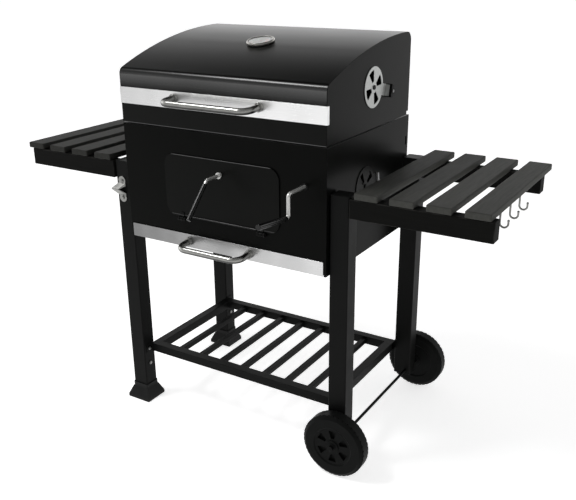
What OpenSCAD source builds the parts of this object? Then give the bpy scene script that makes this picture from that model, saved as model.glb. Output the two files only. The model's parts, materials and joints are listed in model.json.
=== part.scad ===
// Charcoal grill cart: a hinged-lid firebox on four legs, with two side tables,
// a bottom rack, two wheels and two fixed feet.
// Millimetres, +Z up, front of the cart towards -Y.
// Every module is drawn about the cart's datum, which is the point on the ground
// below the middle of the firebox front, and placed() moves it to the part's origin.

/* [Firebox] */
// Outside width of the firebox
box_w = 596; // [560:2:660]
// Outside depth of the firebox
box_d = 448; // [420:2:500]
// Height of the firebox rim above the ground
rim_z = 825; // [800:5:860]
// Height of the firebox walls
box_h = 307; // [300:1:330]
// Thickness of the sheet steel
sheet = 1.5; // [1.5:0.5:2.5]

/* [Charcoal door] */
// Width of the charcoal door
door_w = 340; // [280:2:360]
// Height of the charcoal door
door_h = 161; // [140:1:170]
// Height of the door's lower edge above the ground
door_z = 601; // [596:1:610]

/* [Lid] */
// Height of the lid from its lower edge to its crown
lid_h = 212; // [190:1:240]
// Depth of the lid
lid_d = 441; // [438:1:446]
// Radius of the long curve over the lid
crown_r = 1091; // [1000:1:1300]

/* [Legs and rack] */
// Width of a leg across the cart
leg_w = 48; // [40:1:50]
// Depth of a leg front to back
leg_d = 43; // [38:1:46]
// Height of the leg tops above the ground
leg_z = 715; // [690:5:720]
// Height of the rack's top face above the ground
rack_z = 172; // [165:1:220]
// Thickness of the rack's square tube
rack_tube = 24; // [18:1:28]
// Number of bars across the rack
rack_bar_count = 7; // [4:1:9]

/* [Side tables] */
// Reach of a side table from its leg to the end of its aprons
table_reach = 332; // [300:1:360]
// Length of a table slat front to back
slat_len = 476; // [460:1:490]
// Width of a table slat
slat_w = 57; // [45:1:64]
// Thickness of a table slat
slat_t = 16; // [12:1:20]
// Number of slats on each table
slat_count = 4; // [3:1:4]

/* [Wheels] */
// Radius of a wheel
wheel_r = 84; // [78:1:90]
// Width of a wheel
wheel_w = 41; // [30:1:42]

/* [Hidden] */

$fn = 48;
eps = 0.01;

enamel = [0.06, 0.06, 0.065];
powder_black = [0.13, 0.13, 0.13];
table_paint = [0.22, 0.22, 0.21];
black_plastic = [0.08, 0.08, 0.08];
stainless = [0.82, 0.83, 0.84];
zinc = [0.66, 0.67, 0.66];
grate_steel = [0.3, 0.3, 0.31];
ash_steel = [0.45, 0.45, 0.46];

// Main faces
half_w = box_w / 2;
box_z = rim_z - box_h;
leg_gap = 3;
leg_inner = half_w + leg_gap;
leg_outer = leg_inner + leg_w;
leg_front_y = 11;
leg_rear_y = box_d + 9 - leg_d;
leg_corner_r = 3;
leg_wall = 1.5;
foot_floor = 12;

// Rack
rack_front_y = 42;
rack_rear_y = 418;
rack_bar = 14;
rack_tab = 22;
rack_bolt_z = rack_z - rack_tube / 2;
foot_bolt_z = rack_bolt_z - 48;

// Front wall openings
drawer_gap_w = box_w - 12;
drawer_gap_h = 39;
door_x = 4;
door_corner_r = 30;
door_lap = 12;
door_gap = 2;
door_lip = 8;
lip_gap = 1.8;
door_hinge_y = -7.5;
door_hinge_z = door_z - 5;
door_hinge_x = 120;
knuckle_r = 5;
pin_r = 2.5;
run_gap = 0.08;
// Straight rods that leave a bend at a slope are this much thinner than the bend
bend_step = 0.05;

// Door handle: a rod that stands out and then turns down into its grip
handle_rod_r = 4;
handle_drop = 37;
handle_z = door_z + door_h - handle_drop;
handle_out = -48;
handle_bend = 12;
handle_slope = 46;
handle_len = 99;
handle_grip_r = 5.5;
handle_core_r = handle_rod_r - bend_step;

// Crank and lifting rack
crank_x = 242;
crank_z = 730;
crank_rod_r = 4.5;
crank_bush_r = crank_rod_r + 2;
crank_arm_y = -72;
crank_drop = 53;
crank_bend_r = 8;
crank_tilt = 6;
grip_r = 6.5;
grip_start = 2;
grip_len = 111;
grip_core_r = crank_rod_r - bend_step;
inner_bearing_y = 58;
shaft_end_y = inner_bearing_y + 8;
gear_module = 3;
gear_teeth = 10;
gear_y = 30;
gear_w = 12;
gear_backlash = 0.9;
pitch_r = gear_module * gear_teeth / 2;
tooth_pitch = PI * gear_module;
addendum = 0.8 * gear_module;
dedendum = 1.15 * gear_module;
rack_line_x = crank_x - pitch_r;

// Charcoal tray and its guides
tray_half_w = 214;
tray_y = [24, 424];
tray_z = [640, 700];
tray_lift = 55;
guide_x = tray_half_w + 14;
guide_y = box_d / 2 + 1;
guide_r = 5;
guide_z = [rim_z - 225, rim_z - 33];

// Cooking grates
ledge_z = rim_z - 29;
grate_rod_r = 3;
grate_y = [22, 426];
grate_w = 274;
grate_rods = 14;

// Ash drawer
pan_half_w = half_w - 19;
pan_wall = 1.5;
pan_y = [0, 428];
pan_z = [box_z + 3.5, box_z + 34];
strip_half_w = drawer_gap_w / 2 - 1;
strip_z = [box_z + 1, box_z + 37];

// Lid
lid_z = rim_z + 2;
crown_z = lid_z + lid_h;
crown_cy = lid_d - 31;
crown_cz = crown_z - crown_r;
crease_r = 18;
rear_r = 24;
crease_cz = crown_cz + sqrt(pow(crown_r - crease_r, 2) - pow(crown_cy - crease_r, 2));
crease_join_y = crease_r - crease_r * (crown_cy - crease_r) / (crown_r - crease_r);
band_z = [875, 916];
band_t = 1.2;
lid_hinge_y = 455;
lid_hinge_z = rim_z + 4;
lid_hinge_x = 190;
lid_pin_r = 2.5;

// Thermometer, on the slope of the crown
gauge_y = 196;
gauge_r = 36;
gauge_h = 9;
gauge_tilt = asin((crown_cy - gauge_y) / crown_r);
gauge_z = crown_cz + sqrt(pow(crown_r, 2) - pow(crown_cy - gauge_y, 2));
gauge_stem_r = 3;

// Vent discs on the right side: [y, z] of each pivot
lid_vent = [226, 926];
box_vent = [193, 691];
vent_r = 49;
vent_slot_r = [14, 41];
vent_slot_angle = 38;
vent_slot_turn = 22;
vent_tab_turn = -13;
vent_gap = 0.4;
vent_t = 1.5;
stud_r = 3;
lid_tab_reach = 73;
box_tab_reach = 62;
box_vent_turn = 21;

// Tables
slat_top_z = leg_z + slat_t;
apron_t = 34;
apron_h = 46;
apron_gap = 2.5;
apron_start = leg_outer + apron_gap;
apron_end = leg_outer + table_reach;
front_apron_y = 5.5;
rear_apron_y = leg_rear_y - 6;
slat_edge = apron_end - 8;
rear_apron_end = slat_edge - 6;
left_apron_end = slat_edge - 14;
slat_first = leg_outer + 14;
slat_pitch = (slat_edge - slat_w - slat_first) / (slat_count - 1);
slat_y = 5;
hook_wire_r = 2.2;
hook_r = 9;
hook_x = slat_edge - 3;
hook_ball_r = hook_wire_r + 0.6;
hook_tip_x = hook_x + 2 * hook_r + hook_ball_r;
hook_y = [75, 146, 217];

// Bottle opener, screwed to the front left leg
opener_x = -leg_outer + 19;
opener_t = 2;
opener_w = 24;
opener_top_z = 663;
opener_low_z = 616;

// Wheels and axle
axle_x = leg_inner + 35;
axle_r = 4;
spacer_r = 8;
front_wheel_y = -31.5;
rear_wheel_y = 524 - wheel_w;
nut_h = 9;
nut_gap = 0.5;
wheel_leg_z = wheel_r - 11;

// The part's origin is the middle of its outline on the ground
front_reach = crank_arm_y - crank_bend_r
    - (crank_bend_r + grip_r) * sin(crank_tilt) - (grip_start + grip_len) * cos(crank_tilt);
rear_reach = rear_wheel_y + wheel_w + nut_gap + nut_h;
shift_x = (slat_edge - hook_tip_x) / 2;
shift_y = -(front_reach + rear_reach) / 2;

module placed() {
    translate([shift_x, shift_y, 0]) children();
}

// A box from one corner to the opposite one
module block(from, to) {
    translate(from) cube(to - from);
}

// A cylinder along X or Y, starting at a point
module rod_x(at, len, r) {
    translate(at) rotate([0, 90, 0]) cylinder(h = len, r = r);
}

module rod_y(at, len, r) {
    translate(at) rotate([-90, 0, 0]) cylinder(h = len, r = r);
}

// A bent round bar in the Y-Z plane about a centre, from a start angle measured from +Y towards +Z
module bend_yz(centre, start, sweep, bend_r, r) {
    translate(centre) rotate([90, 0, 90]) rotate([0, 0, start])
        rotate_extrude(angle = sweep) translate([bend_r, 0]) circle(r = r);
}

// A flat rectangle with round corners, from its lower left corner
module rounded_rect(w, h, r) {
    translate([r, 0]) square([w - 2 * r, h]);
    translate([0, r]) square([w, h - 2 * r]);
    for (x = [r, w - r], y = [r, h - r]) translate([x, y]) circle(r = r);
}

// Turns a flat shape drawn in X and Z to stand upright, and thickens it towards +Y
module stand_xz(t) {
    translate([0, t, 0]) rotate([90, 0, 0]) linear_extrude(t) children();
}

// Turns a flat shape drawn in Y and Z to stand upright, and thickens it towards +X
module stand_yz(t) {
    rotate([90, 0, 90]) linear_extrude(t) children();
}

// A square tube along X or Y
module tube_x(from, len, size, wall) {
    difference() {
        translate(from) cube([len, size, size]);
        translate(from + [-eps, wall, wall]) cube([len + 2 * eps, size - 2 * wall, size - 2 * wall]);
    }
}

module tube_y(from, len, size, wall) {
    difference() {
        translate(from) cube([size, len, size]);
        translate(from + [wall, -eps, wall]) cube([size - 2 * wall, len + 2 * eps, size - 2 * wall]);
    }
}

// A round bar handle on two posts: it stands out towards -Y from a face at y = 0, turned down
// by an angle, and its bar runs along X
module bar_handle(span, reach, droop) {
    bounds = [span, 2 * reach, 2 * reach];
    intersection() {
        rotate([droop, 0, 0]) bent_bar(span, reach, 8, 26, 11);
        block([-bounds[0], -bounds[1], -bounds[2]], [bounds[0], 0, bounds[2]]);
    }
}

module bent_bar(span, reach, r, bend, ferrule_r) {
    root = 6;
    for (side = [-1, 1]) {
        translate([side * span / 2, 0, 0]) {
            rod_y([0, -(reach - bend), 0], reach - bend + root, r);
            rod_y([0, -8, 0], 8 + root, ferrule_r);
        }
        translate([side * (span / 2 - bend), -(reach - bend), 0])
            rotate([0, 0, side > 0 ? -90 : 180])
                rotate_extrude(angle = 90) translate([bend, 0]) circle(r = r);
    }
    rod_x([-(span / 2 - bend), -reach, 0], span - 2 * bend, r);
}

// ---------------------------------------------------------------- firebox

module box_front() {
    opening = [door_w - 2 * door_lap, door_h - 2 * door_lap];
    color(enamel) placed() difference() {
        block([-half_w, 0, box_z], [half_w, sheet, rim_z - sheet]);
        block([-drawer_gap_w / 2, -1, box_z - 1], [drawer_gap_w / 2, sheet + 1, box_z + drawer_gap_h]);
        translate([door_x - opening[0] / 2, -1, door_z + door_lap])
            stand_xz(sheet + 2) rounded_rect(opening[0], opening[1], door_corner_r - door_lap);
        rod_y([crank_x, -1, crank_z], sheet + 2, crank_bush_r);
    }
}

// A side wall without its openings, whose outer face is at +half_w
module side_sheet() {
    difference() {
        block([half_w - sheet, sheet, box_z], [half_w, box_d - sheet, rim_z - sheet]);
        block([half_w - sheet - 1, box_d - 17, rim_z - 79], [half_w + 1, box_d - 10, rim_z - 56]);
    }
}

module box_left() {
    color(enamel) placed() mirror([1, 0, 0]) side_sheet();
}

// The four openings behind a vent disc, or through it, as flat wedges
module vent_slots(grow) {
    for (i = [0:3]) rotate(vent_slot_turn + 90 * i) intersection() {
        difference() {
            circle(r = vent_slot_r[1] + grow);
            circle(r = vent_slot_r[0] - grow);
        }
        polygon([[0, 0], 60 * [cos(vent_slot_angle / 2), sin(vent_slot_angle / 2)],
                 60 * [cos(vent_slot_angle / 2), -sin(vent_slot_angle / 2)]]);
    }
}

// A pivot stud on the right side, at a [y, z] point
module vent_stud(at) {
    rod_x([half_w - sheet, at[0], at[1]], sheet + 4, stud_r);
    rod_x([half_w + vent_gap + vent_t + 0.4, at[0], at[1]], 2, stud_r + 2.5);
}

module box_right() {
    color(enamel) placed() {
        difference() {
            side_sheet();
            translate([half_w - sheet - 1, box_vent[0], box_vent[1]]) stand_yz(sheet + 2) vent_slots(-1);
        }
        vent_stud(box_vent);
    }
}

module box_rear() {
    color(enamel) placed()
        block([-half_w, box_d - sheet, box_z], [half_w, box_d, rim_z - sheet]);
}

module box_rim() {
    fold = 16;
    color(enamel) placed() difference() {
        block([-half_w, 0, rim_z - sheet], [half_w, box_d, rim_z]);
        block([-half_w + fold, fold, rim_z - sheet - 1], [half_w - fold, box_d - fold, rim_z + 1]);
    }
}

// Angles inside the front and rear walls that carry the cooking grates
module grate_ledges() {
    reach = 30;
    inner_w = half_w - sheet - 1;
    color(powder_black) placed() {
        block([-inner_w, sheet, ledge_z - 2], [inner_w, sheet + reach, ledge_z]);
        block([-inner_w, sheet, ledge_z], [inner_w, sheet + 1.5, ledge_z + 12]);
        block([-inner_w, box_d - sheet - reach, ledge_z - 2], [inner_w, box_d - sheet, ledge_z]);
        block([-inner_w, box_d - sheet - 1.5, ledge_z], [inner_w, box_d - sheet, ledge_z + 12]);
    }
}

module drawer_runners() {
    color(ash_steel) placed() for (side = [0, 1]) mirror([side, 0, 0]) {
        block([half_w - sheet - 19, 6, box_z + 1], [half_w - sheet, box_d - 8, box_z + 3]);
        block([half_w - sheet - 1.5, 6, box_z + 3], [half_w - sheet, box_d - 8, box_z + 22]);
    }
}

// Two upright posts that the charcoal tray slides on, each on two arms from a side wall
module tray_guides() {
    arm_t = 3;
    arm_w = 20;
    color(ash_steel) placed() for (side = [0, 1]) mirror([side, 0, 0]) {
        translate([guide_x, guide_y, guide_z[0]]) cylinder(h = guide_z[1] - guide_z[0], r = guide_r);
        for (z = [guide_z[0], guide_z[1] - arm_t])
            block([guide_x - 8, guide_y - arm_w / 2, z], [half_w - sheet, guide_y + arm_w / 2, z + arm_t]);
    }
}

// The crank's bush in the front wall and its inner bearing plate on the side wall
module crank_bearings() {
    hole_r = crank_rod_r + run_gap;
    flange = 2;
    color(powder_black) placed() {
        difference() {
            union() {
                rod_y([crank_x, -flange, crank_z], flange, crank_bush_r + 2);
                rod_y([crank_x, 0, crank_z], sheet + 4, crank_bush_r);
            }
            rod_y([crank_x, -flange - 1, crank_z], flange + sheet + 6, hole_r);
        }
        difference() {
            block([crank_x - 18, inner_bearing_y, crank_z - 22],
                  [half_w - sheet, inner_bearing_y + 3, crank_z + 22]);
            rod_y([crank_x, inner_bearing_y - 1, crank_z], 5, hole_r);
        }
    }
}

// Two pairs of lugs below the door opening, each pair with a pin between
module door_hinge() {
    lug_w = 5;
    gap = 13;
    color(powder_black) placed() for (side = [-1, 1]) translate([door_x + side * door_hinge_x, 0, 0]) {
        for (s = [-1, 1]) {
            lug_x = s > 0 ? gap / 2 : -gap / 2 - lug_w;
            rod_x([lug_x, door_hinge_y, door_hinge_z], lug_w, knuckle_r);
            block([lug_x, door_hinge_y, door_hinge_z - knuckle_r], [lug_x + lug_w, 0, door_hinge_z]);
        }
        rod_x([-gap / 2 - lug_w, door_hinge_y, door_hinge_z], gap + 2 * lug_w, pin_r);
    }
}

// ---------------------------------------------------------------- legs and rack

// A leg tube from its foot height to leg_z, on one side of the cart
module leg_tube(side, y, z) {
    x = side > 0 ? leg_inner : -leg_outer;
    translate([x, y, z]) linear_extrude(leg_z - z) difference() {
        rounded_rect(leg_w, leg_d, leg_corner_r);
        translate([leg_wall, leg_wall])
            rounded_rect(leg_w - 2 * leg_wall, leg_d - 2 * leg_wall, leg_corner_r - leg_wall);
    }
}

module front_left_leg() {
    color(powder_black) placed() leg_tube(-1, leg_front_y, foot_floor);
}

module rear_left_leg() {
    color(powder_black) placed() leg_tube(-1, leg_rear_y, foot_floor);
}

// A right leg ends at wheel height and is drilled for the axle
module wheel_leg(y) {
    difference() {
        leg_tube(1, y, wheel_leg_z);
        rod_y([axle_x, y - 1, wheel_r], leg_d + 2, axle_r);
    }
}

module front_right_leg() {
    color(powder_black) placed() wheel_leg(leg_front_y);
}

module rear_right_leg() {
    color(powder_black) placed() wheel_leg(leg_rear_y);
}

// A flared foot with a collar and a pocket for its leg
module foot(y) {
    flare = 14;
    base_h = 9;
    collar_h = 48;
    collar = 2.5;
    translate([-leg_outer, y, 0]) difference() {
        union() {
            hull() {
                translate([-flare, -flare, 0])
                    linear_extrude(base_h) square([leg_w, leg_d] + 2 * [flare, flare]);
                translate([-collar, -collar, collar_h - 14])
                    linear_extrude(1) square([leg_w, leg_d] + 2 * [collar, collar]);
            }
            translate([-collar, -collar, collar_h - 14])
                linear_extrude(14)
                    rounded_rect(leg_w + 2 * collar, leg_d + 2 * collar, leg_corner_r + collar);
        }
        translate([0, 0, foot_floor]) linear_extrude(collar_h) rounded_rect(leg_w, leg_d, leg_corner_r);
    }
}

module front_left_foot() {
    color(black_plastic) placed() foot(leg_front_y);
}

module rear_left_foot() {
    color(black_plastic) placed() foot(leg_rear_y);
}

// Push-in caps in the leg tops and in the lower ends of the wheel legs
module leg_plugs() {
    depth = 8;
    low_depth = 5;
    lip = 2;
    inner = [leg_w, leg_d] - 2 * [leg_wall, leg_wall];
    color(black_plastic) placed() for (y = [leg_front_y, leg_rear_y]) {
        for (x = [-leg_outer, leg_inner]) translate([x, y, leg_z]) {
            linear_extrude(lip) rounded_rect(leg_w, leg_d, leg_corner_r);
            translate([leg_wall, leg_wall, -depth])
                linear_extrude(depth) rounded_rect(inner[0], inner[1], leg_corner_r - leg_wall);
        }
        translate([leg_inner, y, wheel_leg_z]) {
            translate([0, 0, -lip]) linear_extrude(lip) rounded_rect(leg_w, leg_d, leg_corner_r);
            translate([leg_wall, leg_wall, 0])
                linear_extrude(low_depth) rounded_rect(inner[0], inner[1], leg_corner_r - leg_wall);
        }
    }
}

module rack_frame() {
    wall = 1.5;
    z = rack_z - rack_tube;
    side_len = rack_rear_y - rack_front_y - 2 * rack_tube;
    color(powder_black) placed() {
        for (y = [rack_front_y, rack_rear_y - rack_tube])
            tube_x([-leg_inner, y, z], 2 * leg_inner, rack_tube, wall);
        for (side = [0, 1]) mirror([side, 0, 0]) {
            tube_y([leg_inner - rack_tube, rack_front_y + rack_tube, z], side_len, rack_tube, wall);
            for (y = [rack_front_y - rack_tab, rack_rear_y])
                block([leg_inner - 2, y, z], [leg_inner, y + rack_tab, rack_z]);
        }
    }
}

module rack_bars() {
    y = rack_front_y + rack_tube;
    pitch = (2 * leg_inner - 2 * rack_tube + rack_bar) / (rack_bar_count + 1);
    color(powder_black) placed() for (i = [1:rack_bar_count])
        tube_y([-leg_inner + rack_tube - rack_bar + i * pitch, y, rack_z - 5 - rack_bar],
               rack_rear_y - rack_front_y - 2 * rack_tube, rack_bar, 1.2);
}

// A dome-headed bolt whose head stands out towards +X from a face
module bolt_x(at) {
    head_r = 5;
    rod_x(at, 2, head_r);
    rod_x(at + [2, 0, 0], 1.6, head_r - 1.5);
}

module bolt_y(at) {
    translate(at) rotate([0, 0, -90]) bolt_x([0, 0, 0]);
}

// Bolts of one size, on the rack's tabs, the left legs and the bottle opener,
// and the washers that stand the legs off the firebox
module bolts() {
    washer_r = 9;
    color(zinc) placed() {
        for (side = [0, 1]) mirror([side, 0, 0]) {
            for (y = [rack_front_y - rack_tab / 2, rack_rear_y + rack_tab / 2])
                translate([leg_inner - 2, y, rack_bolt_z]) mirror([1, 0, 0]) bolt_x([0, 0, 0]);
            for (y = [leg_front_y, leg_rear_y], z = [box_z + 60, leg_z - 50])
                rod_x([half_w, y + leg_d / 2, z], leg_gap, washer_r);
        }
        for (y = [leg_front_y, leg_rear_y]) bolt_x([-leg_inner, y + leg_d / 2, foot_bolt_z]);
        for (z = [opener_top_z, opener_low_z]) bolt_y([opener_x, leg_front_y - opener_t, z]);
    }
}

// ---------------------------------------------------------------- wheels

module axle() {
    end = 3;
    spacers = [[front_wheel_y + wheel_w + nut_gap, leg_front_y],
               [leg_rear_y + leg_d, rear_wheel_y - nut_gap]];
    color(powder_black) placed() {
        rod_y([axle_x, front_wheel_y - end, wheel_r],
              rear_wheel_y + wheel_w - front_wheel_y + 2 * end, axle_r);
        for (y = spacers) rod_y([axle_x, y[0], wheel_r], y[1] - y[0], spacer_r);
    }
}

// A domed cap nut, drawn with its open end at y = 0 and its dome towards -Y
module cap_nut() {
    difference() {
        union() {
            rod_y([0, -nut_h, 0], nut_h - 1.5, 7);
            rod_y([0, -1.5, 0], 1.5, 10);
        }
        rod_y([0, -3, 0], 4, axle_r);
    }
}

module axle_nuts() {
    color(powder_black) placed() {
        translate([axle_x, front_wheel_y - nut_gap, wheel_r]) cap_nut();
        translate([axle_x, rear_reach - nut_h, wheel_r]) mirror([0, 1, 0]) cap_nut();
    }
}

// A moulded wheel whose outer face is at y = 0, looking towards -Y
module wheel() {
    hub_r = 17;
    pocket_r = [22, 43];
    pocket_depth = 11;
    shoulder = 4;
    lugs = 40;
    difference() {
        rotate([-90, 0, 0]) rotate_extrude($fn = 96) polygon([
            [axle_r + run_gap, 0], [hub_r, 0], [hub_r, 3], [pocket_r[1] + 6, 3], [pocket_r[1] + 10, 0],
            [wheel_r - 9, 0], [wheel_r - shoulder, shoulder], [wheel_r, shoulder + 3],
            [wheel_r, wheel_w - shoulder - 3], [wheel_r - shoulder, wheel_w - shoulder],
            [wheel_r - 9, wheel_w], [pocket_r[1] + 10, wheel_w], [pocket_r[1] + 6, wheel_w - 3],
            [hub_r, wheel_w - 3], [hub_r, wheel_w], [axle_r + run_gap, wheel_w]
        ]);
        for (i = [0:5])
            translate([0, -1, 0]) rotate([0, 90 - 60 * i, 0]) stand_xz(pocket_depth + 1) polygon([
                [pocket_r[0], -4], [pocket_r[1], -11], [pocket_r[1], 11], [pocket_r[0], 4]
            ]);
        for (i = [0:lugs - 1]) for (face = [-1, wheel_w - 9])
            rotate([0, i * 360 / lugs, 0])
                block([wheel_r - 2.2, face, -2], [wheel_r + 2, face + 10, 2]);
    }
}

module front_wheel() {
    color(black_plastic) placed() translate([axle_x, front_wheel_y, wheel_r]) wheel();
}

module rear_wheel() {
    color(black_plastic) placed()
        translate([axle_x, rear_wheel_y + wheel_w, wheel_r]) mirror([0, 1, 0]) wheel();
}

// ---------------------------------------------------------------- side tables

// One apron board on the right side, from the leg to a given end
module apron(y, end) {
    block([apron_start, y, leg_z - apron_h], [end, y + apron_t, leg_z]);
}

module slats() {
    for (i = [0:slat_count - 1])
        translate([slat_first + i * slat_pitch, slat_y, leg_z]) cube([slat_w, slat_len, slat_t]);
}

module right_front_apron() {
    color(table_paint) placed() apron(front_apron_y, apron_end);
}

module right_rear_apron() {
    color(table_paint) placed() apron(rear_apron_y, rear_apron_end);
}

module right_slats() {
    color(table_paint) placed() slats();
}

module left_front_apron() {
    color(table_paint) placed() mirror([1, 0, 0]) apron(front_apron_y, left_apron_end);
}

module left_rear_apron() {
    color(table_paint) placed() mirror([1, 0, 0]) apron(rear_apron_y, left_apron_end);
}

module left_slats() {
    color(table_paint) placed() mirror([1, 0, 0]) slats();
}

// Steel plates that join each apron to its leg, set back from the apron's front face
module table_brackets() {
    color(powder_black) placed() for (side = [0, 1]) mirror([side, 0, 0])
        for (y = [leg_front_y + 6, rear_apron_y + 4])
            block([leg_outer, y, leg_z - apron_h + 4], [apron_start, y + 22, leg_z - 8]);
}

// Three wire hooks under the outer slat of the right table
module utensil_hooks() {
    stem = 21;
    hook_end = 7;
    color(stainless) placed() for (y = hook_y) translate([hook_x, y, leg_z - stem]) {
        cylinder(h = stem, r = hook_wire_r);
        translate([hook_r, 0, 0]) rotate([90, 180, 0])
            rotate_extrude(angle = 180) translate([hook_r, 0]) circle(r = hook_wire_r);
        translate([2 * hook_r, 0, 0]) cylinder(h = hook_end, r = hook_wire_r);
        translate([2 * hook_r, 0, hook_end]) sphere(r = hook_ball_r);
    }
}

// A bottle opener: a folded strip with two screwed ends and a lip standing out between them
module bottle_opener() {
    lip_x = -24;
    lip_y = -16;
    clear = 6.5;
    mid_z = (opener_top_z + opener_low_z) / 2;
    color(zinc) placed() translate([opener_x, leg_front_y - opener_t, 0]) {
        for (z = [opener_top_z, opener_low_z]) rod_y([0, 0, z], opener_t, opener_w / 2);
        hull() {
            block([-opener_w / 2, 0, opener_top_z - 14], [opener_w / 2, opener_t, opener_top_z - clear]);
            block([lip_x, lip_y, mid_z + 2], [lip_x + opener_w, lip_y + opener_t, mid_z + 4]);
        }
        hull() {
            block([-opener_w / 2, 0, opener_low_z + clear], [opener_w / 2, opener_t, opener_low_z + 13]);
            block([lip_x, lip_y, mid_z + 1], [lip_x + opener_w, lip_y + opener_t, mid_z + 3]);
        }
    }
}

// ---------------------------------------------------------------- lid

// The lid's side outline in Y and Z, moved inwards by t
module lid_outline(t) {
    intersection() {
        translate([crown_cy, crown_cz]) circle(r = crown_r - t, $fn = 720);
        translate([crease_join_y, lid_z]) square([crown_cy - crease_join_y, lid_h]);
    }
    translate([t, lid_z]) square([crease_join_y - t + eps, crease_cz - lid_z]);
    translate([crease_r, crease_cz]) circle(r = crease_r - t);
    translate([crown_cy - eps, lid_z]) square([lid_d - rear_r - crown_cy + eps, lid_h - t]);
    translate([crown_cy, lid_z]) square([lid_d - t - crown_cy, lid_h - rear_r]);
    translate([lid_d - rear_r, crown_z - rear_r]) circle(r = rear_r - t);
}

// The notch at the lid's lower rear corner
module lid_notch() {
    translate([lid_d - 10, lid_z - 1]) square([20, 10]);
}

module on_crown() {
    translate([0, gauge_y, gauge_z]) rotate([gauge_tilt, 0, 0]) children();
}

module lid_shell() {
    color(enamel) placed() difference() {
        translate([-half_w + sheet, 0, 0]) stand_yz(box_w - 2 * sheet) difference() {
            lid_outline(0);
            lid_outline(sheet);
            translate([sheet, lid_z - 1]) square([lid_d - 2 * sheet, 30]);
            lid_notch();
        }
        on_crown() translate([0, 0, -10]) cylinder(h = 20, r = gauge_stem_r + 0.5);
    }
}

module lid_side() {
    stand_yz(sheet) difference() {
        lid_outline(0);
        lid_notch();
    }
}

module lid_left_side() {
    color(enamel) placed() translate([-half_w, 0, 0]) lid_side();
}

module lid_right_side() {
    color(enamel) placed() {
        difference() {
            translate([half_w - sheet, 0, 0]) lid_side();
            translate([half_w - sheet - 1, lid_vent[0], lid_vent[1]]) stand_yz(sheet + 2) vent_slots(-1);
        }
        vent_stud(lid_vent);
    }
}

module lid_band() {
    wrap = 8;
    color(stainless) placed() {
        block([-half_w - band_t, -band_t, band_z[0]], [half_w + band_t, 0, band_z[1]]);
        for (x = [-half_w - band_t, half_w])
            block([x, 0, band_z[0]], [x + band_t, wrap, band_z[1]]);
    }
}

module lid_handle() {
    color(stainless) placed() translate([0, -band_t, (band_z[0] + band_z[1]) / 2 + 5])
        bar_handle(248, 55, 4);
}

// Hinge leaves on the lid's rear wall, each with one knuckle over the pin
module lid_hinge_upper() {
    leaf_w = 40;
    knuckle = 18;
    color(powder_black) placed() for (side = [-1, 1]) translate([side * lid_hinge_x, 0, 0]) difference() {
        union() {
            block([-leaf_w / 2, lid_d, lid_z + 12], [leaf_w / 2, lid_d + 2.5, lid_z + 50]);
            block([-knuckle / 2, lid_d, lid_hinge_z + 2], [knuckle / 2, lid_hinge_y, lid_hinge_z + 5]);
            block([-knuckle / 2, lid_d, lid_hinge_z + 2], [knuckle / 2, lid_d + 2.5, lid_z + 14]);
            rod_x([-knuckle / 2, lid_hinge_y, lid_hinge_z], knuckle, knuckle_r);
        }
        rod_x([-knuckle, lid_hinge_y, lid_hinge_z], 2 * knuckle, lid_pin_r + run_gap);
    }
}

// Hinge leaves on the firebox's rear wall, each with two knuckles and the pin
module lid_hinge_lower() {
    leaf_w = 46;
    gap = 19;
    color(powder_black) placed() for (side = [-1, 1]) translate([side * lid_hinge_x, 0, 0]) {
        block([-leaf_w / 2, box_d, rim_z - 45], [leaf_w / 2, box_d + 2.5, rim_z - 3]);
        for (s = [-1, 1]) {
            knuckle_x = s > 0 ? gap / 2 : -leaf_w / 2;
            knuckle = leaf_w / 2 - gap / 2;
            rod_x([knuckle_x, lid_hinge_y, lid_hinge_z], knuckle, knuckle_r);
            block([knuckle_x, box_d, rim_z - 6], [knuckle_x + knuckle, lid_hinge_y, rim_z - 1]);
        }
        rod_x([-leaf_w / 2, lid_hinge_y, lid_hinge_z], leaf_w, lid_pin_r);
    }
}

module thermometer_bezel() {
    color(stainless) placed() on_crown() rotate_extrude($fn = 96) polygon([
        [gauge_r - 5, 0], [gauge_r - 1, 0], [gauge_r, 2], [gauge_r, gauge_h - 3],
        [gauge_r - 2, gauge_h], [gauge_r - 5, gauge_h]
    ]);
}

// The dial disc with its needle pin and the stem that reaches into the lid
module thermometer_dial() {
    color("white") placed() on_crown() {
        cylinder(h = 3.5, r = gauge_r - 5);
        translate([0, 0, -55]) cylinder(h = 55 + eps, r = gauge_stem_r);
        cylinder(h = 5.4, r = 1);
    }
}

module thermometer_glass() {
    color([0.8, 0.85, 0.9, 0.4]) placed() on_crown()
        translate([0, 0, 6]) cylinder(h = 1.5, r = gauge_r - 5);
}

module thermometer_needle() {
    blade = 25;
    color("firebrick") placed() on_crown() translate([0, 0, 4]) difference() {
        union() {
            cylinder(h = 1, r = 3.2);
            rotate([0, 0, 225]) translate([-7, -0.8, 0.1]) cube([blade + 7, 1.6, 0.7]);
        }
        translate([0, 0, -1]) cylinder(h = 3, r = 1 + 0.06);
    }
}

// A vent disc about its own pivot, with four slots and a tab with a turned-up end
module vent_disc(tab_reach) {
    tab_w = 28;
    root = 12;
    fold = 9;
    stand_yz(vent_t) difference() {
        union() {
            circle(r = vent_r, $fn = 96);
            rotate(vent_tab_turn) translate([vent_r - root, -tab_w / 2])
                square([tab_reach - vent_r + root, tab_w]);
        }
        circle(r = stud_r + run_gap);
        vent_slots(0);
    }
    rotate([vent_tab_turn, 0, 0])
        block([0, tab_reach - vent_t, -tab_w / 2], [fold, tab_reach, tab_w / 2]);
}

// Moves to a vent's pivot on the right side and turns about it
module at_vent(at, turn) {
    translate([half_w + vent_gap, at[0], at[1]]) rotate([turn, 0, 0]) children();
}

module lid_vent_disc() {
    color(zinc) placed() at_vent(lid_vent, 0) vent_disc(lid_tab_reach);
}

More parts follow.
